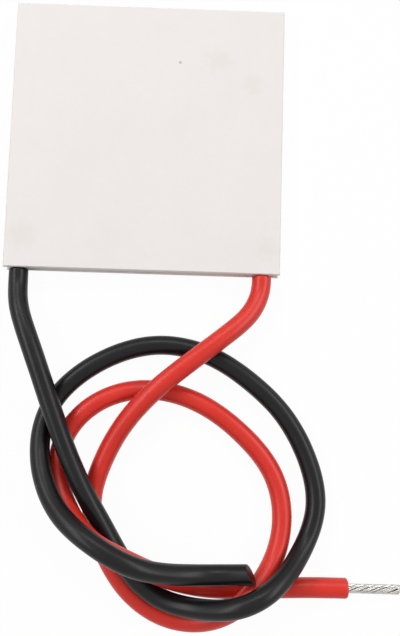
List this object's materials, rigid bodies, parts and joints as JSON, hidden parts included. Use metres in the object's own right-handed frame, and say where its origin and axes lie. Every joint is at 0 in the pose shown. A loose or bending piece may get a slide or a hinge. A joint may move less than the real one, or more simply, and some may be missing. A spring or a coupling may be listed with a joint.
{
  "type": "thermoelectric cooling module",
  "caption": "Square ceramic thermoelectric cooling module with a sealed field of semiconductor legs between its plates and two loose insulated leads.",
  "frame": {"origin": "centre of the hot plate's lower face", "axes": "+Z out of the cold face, -Y the side the leads leave, +X the positive lead's side"},
  "size_m": [0.058, 0.0901, 0.0112],
  "materials": {
    "ceramic": "matte",
    "copper": "satin",
    "p_type": "satin",
    "n_type": "satin",
    "solder": "satin",
    "sealant": "matte",
    "tinned_wire": "satin",
    "red_insulation": "satin",
    "black_insulation": "satin"
  },
  "bodies": {
    "root": {"hot_plate": "ceramic", "cold_plate": "ceramic", "hot_tabs": "copper", "cold_tabs": "copper", "positive_pad": "copper", "negative_pad": "copper", "p_legs": "p_type", "n_legs": "n_type", "hot_solder": "solder", "cold_solder": "solder", "edge_seal": "sealant", "positive_core": "tinned_wire", "negative_core": "tinned_wire", "positive_joint": "solder", "negative_joint": "solder", "red_lead": "red_insulation", "black_lead": "black_insulation", "red_strands": "tinned_wire"}
  },
  "joints": []
}
